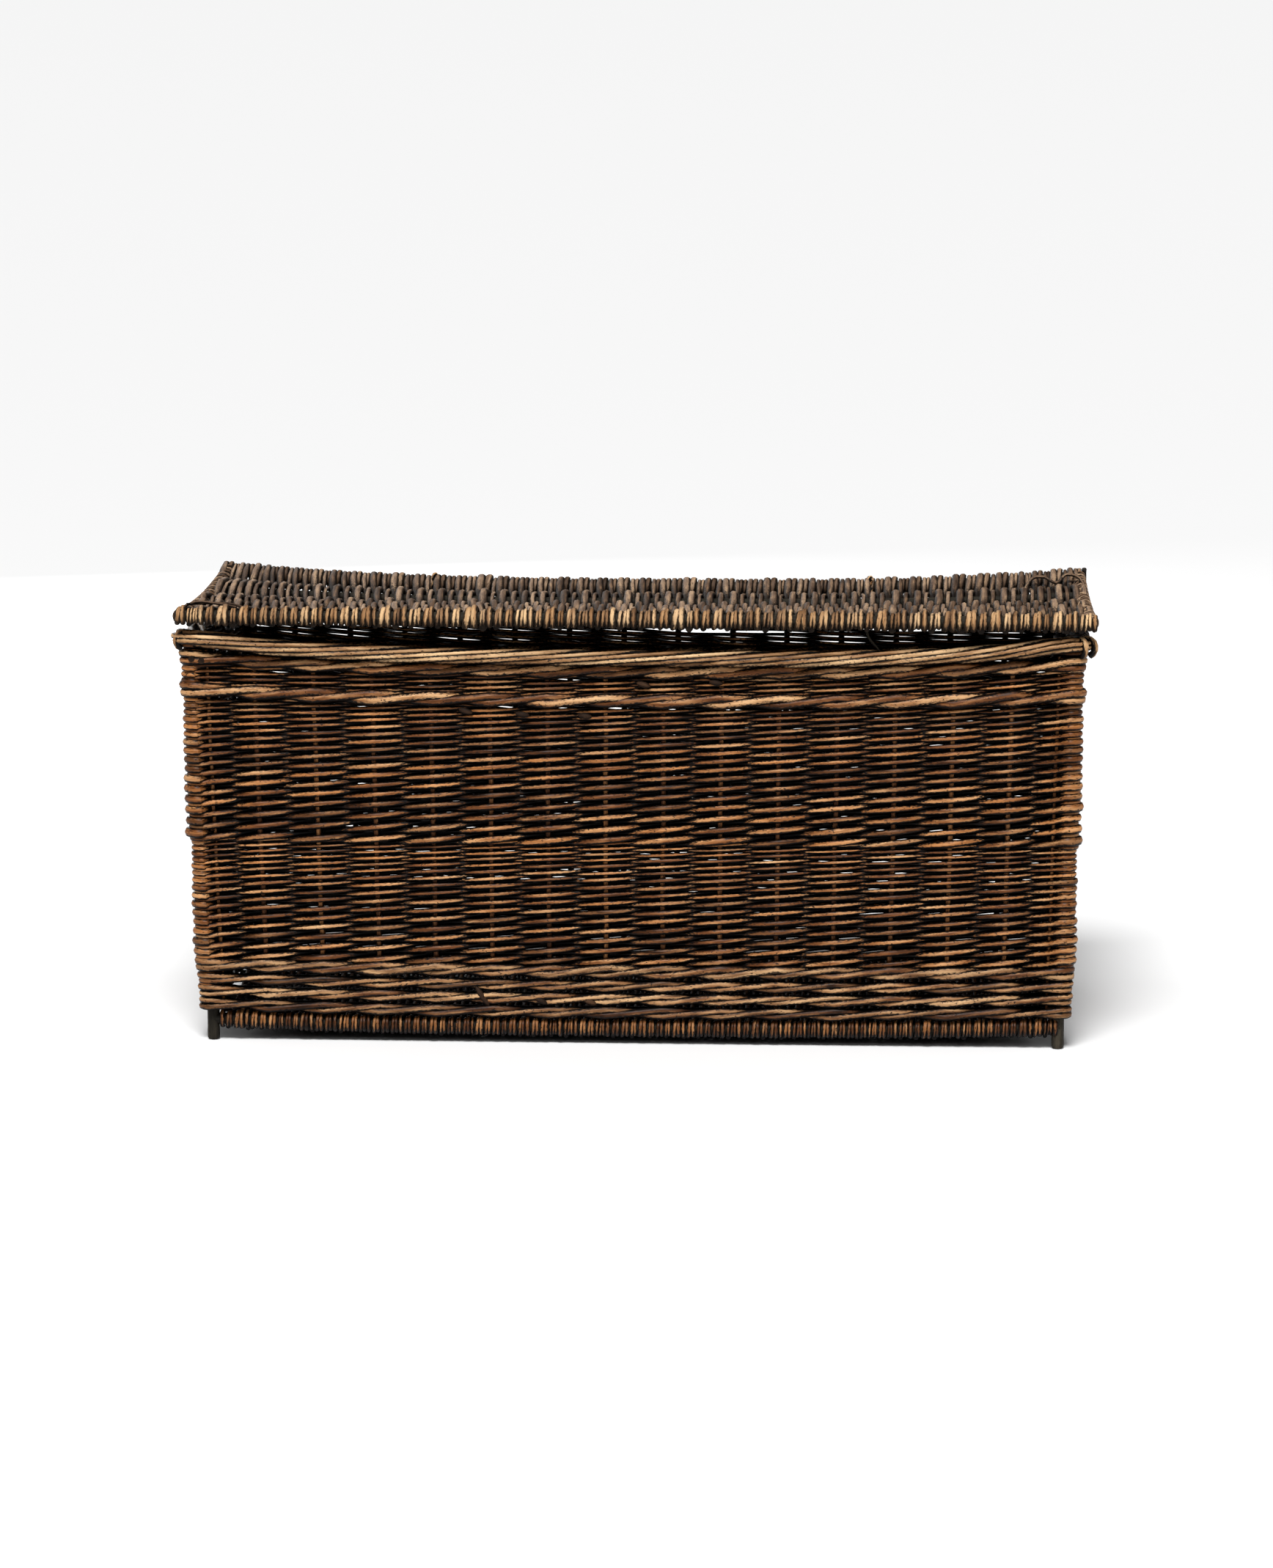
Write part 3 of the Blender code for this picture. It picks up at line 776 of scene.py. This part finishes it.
def flat_weave(sticks, reach, bare, level_at, diameters, crowding, wear, slant=no_slant):
    """sticks: (y, radius) from front to back. level_at(x, y) is the height of the sticks' middles there.

    The turns cover the edge sticks out to reach, and the weave stops short of that by bare.
    Returns one Rod for each trip to the back and home again, and one more for the end of each edge.
    """
    rods = []
    x, last = bare - reach, reach - bare
    edges = [-reach, -reach]  # how far the turns have got along the front stick and the back stick
    trip = 0
    while x < last:
        radius = diameters[trip % len(diameters)] / 2 * (1 + wobble(0.16))
        tight = radius * TIGHT * (1 + wobble(0.12))
        there = x + radius * crowding
        home = there + 2 * radius * crowding
        path = []
        edges[0] = edge_turns(path, sticks[0], -1, -1, edges[0], there, tight)
        start, finish = (edges[0] - tight, tight), (edges[1] + tight, tight)
        cross(path, sticks, 1, start, there, finish, radius, slant)
        path.pop()  # the turn begins where the crossing ends
        sign = 1 if len(sticks) % 2 else -1
        edges[1] = edge_turns(path, sticks[-1], 1, sign, edges[1], home + slant(home, sticks[-1][0]), tight)
        start, finish = (edges[1] - tight, tight), (edges[0] + tight, tight)
        cross(path, sticks[::-1], -sign, start, home, finish, radius, slant)
        rods.append(flat_rod(path, level_at, wear, chance.uniform(0.45, 1.0)))
        x = home + radius * crowding
        trip += 1
    for k, (stick, end) in enumerate(((sticks[0], -1), (sticks[-1], 1))):
        path = []
        edge_turns(path, stick, end, -1, edges[k], reach - 0.003, LAST_TURN_R)
        rods.append(flat_rod(path, level_at, wear))
    return rods


def edge_turns(path, stick, end, sign, done, wanted, radius):
    """Turns round an edge stick, from the side where sign points to the other; end is -1 at the front."""
    y, stick_radius = stick
    reach = stick_radius + radius * (1 - PRESSED)
    pitch = TURN_PITCH * radius
    turns = max(1, round((wanted - done + radius) / pitch))
    steps = 8
    for turn in range(turns):
        x = done + radius
        whole = turn < turns - 1
        span = 2 * math.pi if whole else math.pi
        count = steps * 2 if whole else steps
        for k in range(count):
            angle = span * k / count
            shift = pitch * k / count if whole else 0.0
            turned = y + end * reach * math.sin(angle)
            path.append((x + shift, turned, sign * reach * math.cos(angle), y, radius))
        done += pitch
    return done


def cross(path, sticks, sign, start, middle, finish, radius, slant):
    """Goes over and under the sticks in turn, starting on the side where sign points.

    start and finish are (x, radius) at the two edges, and middle is the rod's x between them.
    """
    way = 1 if sticks[-1][0] > sticks[0][0] else -1

    def at_stick(k):
        if k == 0:
            return start
        if k == len(sticks) - 1:
            return finish
        return middle + slant(middle, sticks[k][0]), radius

    for k, (y, stick_radius) in enumerate(sticks):
        x, thick = at_stick(k)
        reach = stick_radius + thick
        if 0 < k < len(sticks) - 1:
            x += wobble(0.0009)
            path.append((x, y - way * reach * 0.7, sign * reach * 0.86, None, thick))
        path.append((x, y, sign * reach, None, thick))
        if k == len(sticks) - 1:
            return
        path.append((x, y + way * reach * 0.7, sign * reach * 0.86, None, thick))
        next_x, next_thick = at_stick(k + 1)
        next_y, next_stick_radius = sticks[k + 1]
        for t in (0.25, 0.5, 0.75):
            height = mix(sign * reach, -sign * (next_stick_radius + next_thick), ease(t) * 0.5 + t * 0.5)
            path.append((mix(x, next_x, ease(t)), mix(y, next_y, t), height, None, BULGE * radius))
        sign = -sign


def flat_rod(path, level_at, wear, worn_share=1.0):
    """A Rod from a path of (x, y, height, the y of the stick it turns round or None, radius)."""
    points, radii, outward, side, worn, flat = [], [], [], [], [], []
    for x, y, height, stick_y, radius in path:
        points.append(Vector((x, y, level_at(x, y) + height)))
        radii.append(radius * (1 + wobble(0.04)))
        worn.append(wear(y, height) * worn_share)
        if stick_y is None:
            outward.append(Vector((0, 0, 1)))
            side.append(side_of(height))
            flat.append(0.0)
        else:
            outward.append(Vector((0, y - stick_y, height)).normalized())
            side.append(1.0)
            flat.append(PRESSED)
    return Rod(points, radii, outward, side, worn, flat)


def stick_rods(names, level_at, ends):
    """The sticks of a flat weave, each a little uneven, with their cut ends showing."""
    rods = []
    for name, (y, radius) in names.items():
        points = []
        for k in range(25):
            x = mix(-ends, ends, k / 24)
            points.append(Vector((x, y, level_at(x, y))))
        radii = [radius * (1 + wobble(0.02)) for _ in points]
        rods.append(Rod(points, radii, [Vector((0, 0, 1))] * 25, side=0.0))
    return rods


def sticks_of(names):
    """The y and the radius of each of the frame's long sticks."""
    found = {}
    for name in names:
        low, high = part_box(name)
        found[name] = ((low.y + high.y) / 2, (high.y - low.y) / 2)
    return found


print("edge turns every", TURN_PITCH, "rod radii")

# %% [markdown]
# The lid's rods have slipped sideways with use and lie at a slant. Its front edge has stayed straight, the
# middle has sunk, and the back follows the border it is tied to.

# %% The lid
FRONT_STICK_WEAR = 0.95  # the front stick has been worn thin
FRONT_LIFT = 0.0022  # the front edge rides this much higher than the back
SLIP, SLIP_CENTRE = 0.16, 0.17  # how much the rods slant, and the x at which they lie straight
SLIP_FADE = 0.11  # from the ends, where the pairing holds the rods
LID_DIAMETERS = (0.0080, 0.0048, 0.0072, 0.0056)
CROWDING = 0.80  # the rods lie closer than their own width
LID_END = 0.0130

LID_STICKS = sticks_of([f"lid_stick_{k + 1}" for k in range(5)])
LID_STICKS["lid_stick_1"] = (LID_STICKS["lid_stick_1"][0], LID_STICKS["lid_stick_1"][1] * FRONT_STICK_WEAR)
LID_FRONT_Y, LID_BACK_Y = LID_STICKS["lid_stick_1"][0], LID_STICKS["lid_stick_5"][0]
LID_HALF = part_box("lid_stick_1")[1].x
LID_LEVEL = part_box("lid_stick_5")[1].z - LID_STICKS["lid_stick_5"][1]


def lid_level(x, y):
    """The lid keeps its front edge straight, sinks in the middle and follows the border at the back."""
    share = min(1.0, max(0.0, (y - LID_FRONT_Y) / (LID_BACK_Y - LID_FRONT_Y)))
    return LID_LEVEL + FRONT_LIFT * (1 - share) - drop_across(y) - drop_along(x) * share


def lid_wear(y, height):
    """Hands have rubbed the lid's front edge back to gold, except underneath."""
    in_front = min(1.0, max(0.0, (LID_FRONT_Y + 0.002 - y) / 0.006))
    above = min(1.0, max(0.0, 1.1 + height / 0.010))
    return 1.2 * in_front * above


def lid_slant(x, y):
    """How far sideways the rods have slipped where they reach y: left on the left, hardly on the right."""
    return SLIP * (x - SLIP_CENTRE) * (y - LID_FRONT_Y) * min(1.0, (LID_HALF - abs(x)) / SLIP_FADE)


lid_rods = flat_weave(
    list(LID_STICKS.values()), LID_HALF - 0.001, LID_END * 0.6, lid_level, LID_DIAMETERS, CROWDING,
    lid_wear, lid_slant
)
make_rods("lid_weave_rods", lid_rods, DUSTY, "lid", ["lid_weave"])
lid_sticks = stick_rods(LID_STICKS, lid_level, LID_HALF - 0.002)
make_rods("lid_sticks", lid_sticks, STICK, "lid", list(LID_STICKS))

# %% [markdown]
# The base is the same weave on four sticks. Only its front edge shows, under the waling.

# %% The base
BASE_STICKS = sticks_of([f"base_stick_{k + 1}" for k in range(4)])
BASE_LEVEL = 0.02325
BASE_END = FOOT_X + POST_R * 0.3
BASE_REACH = FOOT_X - POST_R - 0.0008  # the weave stops just short of the posts
BASE_DIAMETERS = (0.0056, 0.0044)


def base_level(x, y):
    return BASE_LEVEL - wall_drop(x, y, BASE_TOP)


def base_wear(y, height):
    return 0.0


base_rods = flat_weave(
    list(BASE_STICKS.values()), BASE_REACH, 0.0, base_level, BASE_DIAMETERS, CROWDING, base_wear
)
make_rods("base_weave_rods", base_rods, LOW, "basket", ["base_weave"])
base_sticks = stick_rods(BASE_STICKS, base_level, BASE_END)
make_rods("base_sticks", base_sticks, STICK, "basket", list(BASE_STICKS))

# %% [markdown]
# ## The lid's ends and hinges
#
# The ends of the lid are closed by pairing: two rods twisted round each other and round every stick they
# pass. The hinges are made the same way from thinner rods.


# %% Twisted pairs
def twisted(points, turns, radius, twist_radius, worn):
    """Two rods twisted round the path through points."""
    path = [Vector(p) for p in points]
    lengths = [0.0]
    for a, b in zip(path, path[1:]):
        lengths.append(lengths[-1] + (b - a).length)
    steps = round(turns * 14)
    rods = []
    for strand in range(2):
        made, outward = [], []
        for k in range(steps + 1):
            where = lengths[-1] * k / steps
            j = max(i for i in range(len(path) - 1) if lengths[i] <= where + 1e-9)
            t = (where - lengths[j]) / (lengths[j + 1] - lengths[j])
            centre = path[j].lerp(path[j + 1], t)
            along = (path[min(j + 1, len(path) - 1)] - path[j]).normalized()
            across = along.cross(Vector((1, 0, 0) if abs(along.x) < 0.7 else (0, 0, 1))).normalized()
            other = along.cross(across)
            angle = 2 * math.pi * turns * k / steps + strand * math.pi
            spoke = across * math.cos(angle) + other * math.sin(angle)
            made.append(centre + spoke * twist_radius)
            outward.append(spoke)
        rods.append(Rod(made, [radius * (1 + wobble(0.04)) for _ in made], outward, 1.0, worn))
    return rods


ends = []
for side in (-1, 1):
    x = side * (LID_HALF - LID_END / 2)
    line = [(x, mix(LID_FRONT_Y - 0.006, LID_BACK_Y + 0.006, k / 24)) for k in range(25)]
    line = [(x, y, lid_level(x, y)) for x, y in line]
    ends += twisted(line, 14, 0.0038, 0.0040, 0.1)
pairing_nodes = ["lid_end_pairing_left", "lid_end_pairing_right"]
make_rods("lid_end_pairing", ends, DUSTY, "lid", pairing_nodes)

# %% [markdown]
# Each hinge is a thin pair of rods round the back stick and under the border. The lid turns round the border,
# so the loop's lower half is an arc about the border's middle.

# %% Hinge loops
loop_low, loop_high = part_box("hinge_loop_right")
HINGE_X = (loop_low.x + loop_high.x) / 2
HINGE_Y = LID_BACK_Y
HINGE_LEVEL = BORDER_LEVEL - wall_drop(0.0, HINGE_Y, BORDER_LEVEL)
OVER_STICK = 0.0095  # from the back stick's middle to the middle of the loop
reach = (loop_high.y - loop_low.y) / 2 - 0.0022
loops = []
for side in (-1, 1):
    x = side * HINGE_X
    stick_level = lid_level(x, HINGE_Y)
    ring = []
    for k in range(13):
        angle = math.pi + math.pi * k / 12
        ring.append((x, HINGE_Y + reach * math.cos(angle), HINGE_LEVEL + reach * math.sin(angle)))
    for k in range(9):
        angle = math.pi * k / 8
        ring.append((x, HINGE_Y + OVER_STICK * math.cos(angle), stick_level + OVER_STICK * math.sin(angle)))
    ring.append(ring[0])
    loops += twisted(ring, 7, 0.0016, 0.0016, 0.8)
make_rods("hinge_loops", loops, STAINED, "lid", ["hinge_loop_left", "hinge_loop_right"])

# %% [markdown]
# ## What makes it this one basket
#
# The border is finished off at its front corners with a rod or two turned down over it. Thin rods tie the
# lid's corners, cut ends of stout rods show dark along the waling, and one stem hangs loose under the
# lid.


# %% Loops over the border
def loop_over_border(x, y, across, radius):
    """A rod turned over the border from inside to outside. across faces out of the corner."""
    points, outward = [], []
    level = BORDER_LEVEL - wall_drop(x, y, BORDER_LEVEL) - 0.0005
    for k in range(9):
        angle = math.radians(mix(150, -70, k / 8))
        spoke = across * math.cos(angle) + Vector((0, 0, math.sin(angle)))
        points.append(Vector((x, y, level)) + spoke * (0.0048 + radius))
        outward.append(spoke)
    return Rod(points, [radius * (1 + wobble(0.05)) for _ in points], outward, worn=0.9)


corner_x, corner_y = TOP_X + 0.0130, TOP_Y + 0.0100
loops = [
    loop_over_border(-corner_x - LEFT_LEAN + 0.004, -corner_y + 0.003, Vector((-0.80, -0.60, 0)), 0.0034),
    loop_over_border(corner_x - 0.004, -corner_y - 0.001, Vector((0.45, -0.89, 0)), 0.0034),
    loop_over_border(corner_x + 0.002, -corner_y + 0.005, Vector((0.85, -0.53, 0)), 0.0036),
]
make_rods("border_corner_loops", loops, STAINED, "basket")

# %% [markdown]
# Thin willow skeins hold the lid's corners. At the front left two short ones lie over the edge, and at the
# back right a pair wanders over the last stick and down the end.

# %% Ties
def loose_rod(points, radius, tip=1.0):
    """A short rod through a few points, rounded off between them; tip is how thin it gets."""
    knots = [Vector(p) for p in points]
    path = []
    for k in range(len(knots) - 1):
        before, after = knots[max(k - 1, 0)], knots[min(k + 2, len(knots) - 1)]
        for j in range(6):
            t = j / 6
            a, b = knots[k], knots[k + 1]
            ease_a, ease_b = (b - before) / 2, (after - a) / 2
            path.append(
                a * (2 * t ** 3 - 3 * t ** 2 + 1) + ease_a * (t ** 3 - 2 * t ** 2 + t)
                + b * (3 * t ** 2 - 2 * t ** 3) + ease_b * (t ** 3 - t ** 2)
            )
    path.append(knots[-1])
    radii = [radius * mix(1.0, tip, k / (len(path) - 1)) for k in range(len(path))]
    return Rod(path, radii, [Vector((0, -0.7, 0.7))] * len(path))


def on_front(x, out, level):
    """A point of the front wall at a given x."""
    half_x, _ = lean(level)
    return place("front", (x / half_x + 1) / 2, out, level)


lid_top = LID_LEVEL + 0.0120
# Front left ties: x, how far behind the front stick and how far above the lid's top.
FRONT_TIES = (
    ((-0.452, -0.004, -0.003), (-0.436, 0.012, 0.002), (-0.418, 0.010, 0.0015), (-0.394, -0.002, -0.001)),
    ((-0.444, 0.004, 0.001), (-0.430, 0.020, 0.0), (-0.404, 0.012, 0.001), (-0.386, 0.002, -0.002)),
)
ties = []
for radius, way in zip((0.0014, 0.0013), FRONT_TIES):
    ties.append(loose_rod([(x, LID_FRONT_Y + back, lid_top + up) for x, back, up in way], radius))
# Back right ties: x, how far behind the fourth stick, the side on which the second rod lies, the height above.
BACK_TIE = (
    (0.399, 0.050, 1, 0.0125), (0.412, 0.060, 1, 0.013), (0.425, 0.036, -1, 0.010),
    (0.436, 0.062, 1, 0.0135), (0.449, 0.052, 1, 0.011), (0.4545, 0.030, 0, 0.004),
)
stick_y = LID_STICKS["lid_stick_4"][0]
for shift in (0.0, 0.0030):
    way = [(0.388 + shift, stick_y - 0.006, lid_level(0.388, stick_y) + 0.004)]
    for x, back, beside, up in BACK_TIE:
        way.append((x, stick_y + back + beside * shift, lid_level(x, stick_y + back) + up))
    ties.append(loose_rod(way, 0.0016))
make_rods("lid_corner_ties", ties, DUSTY, "lid")

# %% [markdown]
# A new rod is laid in beside the end of the old one, and both are cut off outside, which leaves dark ends
# along the wall. A stem that nobody cut off hangs inside, under the lid.

# %% Cut ends and a loose stem
# Cut ends: (x, level, how far it slants down to the right), along the shoulder and the foot of the front.
CUT_ENDS = ((-0.167, 0.3455, 0.002), (-0.111, 0.3425, 0.001), (-0.049, 0.3415, 0.001), (0.009, 0.3775, 0.002),
            (0.081, 0.3805, 0.001), (-0.093, 0.0505, 0.003), (-0.044, 0.0500, 0.002), (-0.152, 0.0540, 0.009))
# A cut end is short and rounded: how far along it, from -1 to 1, and how thick it is there.
CUT_SHAPE = ((-1, 0.35), (-0.8, 0.72), (-0.3, 1), (0.3, 1), (0.8, 0.72), (1, 0.35))
cut_ends = []
for x, level, slant in CUT_ENDS:
    points = [on_front(x + 0.0065 * t, 0.0098 - 0.0020 * abs(t), level - slant * t) for t, _ in CUT_SHAPE]
    cut_ends.append(Rod(points, [0.0030 * share for _, share in CUT_SHAPE], [Vector((0, -1, 0))] * len(points)))
for x, level in ((-0.4330, 0.3905), (-0.4235, 0.3895)):
    cut_ends.append(loose_rod([on_front(x, out, level) for out in (0.004, 0.0125, 0.0150)], 0.0032))
make_rods("cut_rod_ends", cut_ends, CUT, "basket")

stem = loose_rod([
    (0.229, LID_FRONT_Y + 0.020, LID_LEVEL - 0.008), (0.232, LID_FRONT_Y + 0.016, LID_LEVEL - 0.017),
    (0.240, LID_FRONT_Y + 0.014, LID_LEVEL - 0.026), (0.243, LID_FRONT_Y + 0.015, LID_LEVEL - 0.031)
], 0.0015, tip=0.5)
make_rods("loose_stem", [stem], STICK, "lid")

# %% [markdown]
# ## Floor, light and camera
#
# A pale floor that runs into a pale background. A soft sun stands above and in front, four weak area lights
# lift the shadows all round, and a long lens keeps the basket's edges straight.

# %% Studio
bpy.ops.mesh.primitive_plane_add(size=300, location=(0, 130, -0.0005))
floor = bpy.context.object
floor.name = "studio_floor"
paper = bpy.data.materials.new("white_paper")
paper.use_nodes = True
matt = paper.node_tree.nodes["Principled BSDF"]
matt.inputs["Base Color"].default_value = (0.82, 0.82, 0.82, 1)
matt.inputs["Roughness"].default_value = 0.9
floor.data.materials.append(paper)


def soft_light(name, place_at, size, power):
    """A square area light that faces the middle of the basket."""
    bpy.ops.object.light_add(type="AREA", location=place_at)
    light = bpy.context.object
    light.name = name
    light.data.size = size
    light.data.energy = power
    light.rotation_euler = (Vector((0, 0, 0.22)) - Vector(place_at)).to_track_quat("-Z", "Y").to_euler()


soft_light("front_fill", (0.6, -3.0, 1.6), 1.0, 10)
soft_light("back_fill", (-1.2, 3.4, 1.2), 2.0, 24)
soft_light("right_fill", (3.4, 0.4, 1.3), 1.5, 14)
soft_light("left_fill", (-3.4, 0.4, 1.3), 1.5, 14)

bpy.ops.object.light_add(type="SUN", location=(-1, -2, 4))
sun = bpy.context.object
sun.name = "overhead_key"
sun.data.energy = 4.2
sun.data.angle = math.radians(24)
sun.rotation_euler = (Vector((0.08, 0.95, -1.45))).to_track_quat("-Z", "Y").to_euler()

world = bpy.data.worlds.new("studio_white")
world.use_nodes = True
background = world.node_tree.nodes["Background"]
background.inputs["Color"].default_value = (1, 1, 1, 1)
background.inputs["Strength"].default_value = 0.07
bpy.context.scene.world = world
bpy.context.scene.view_settings.view_transform = "Standard"

camera_data = bpy.data.cameras.new("camera")
camera = bpy.data.objects.new("camera", camera_data)
bpy.context.scene.collection.objects.link(camera)
camera.location = (0.2536, -5.693, 1.1237)
TURN, TIP, ROLL = 0.0457, 0.1548, 0.0023
look = Vector((-math.sin(TURN) * math.cos(TIP), math.cos(TURN) * math.cos(TIP), -math.sin(TIP)))
roll = Matrix.Rotation(ROLL, 3, "Z").to_quaternion()
camera.rotation_euler = (look.to_track_quat("-Z", "Y") @ roll).to_euler()
camera_data.lens = 128.6  # with the default 36 mm sensor along the frame's longer side
camera_data.clip_end = 200
bpy.context.scene.camera = camera
print("floor, sun, four fills and a camera with a", round(camera_data.lens, 1), "mm lens")
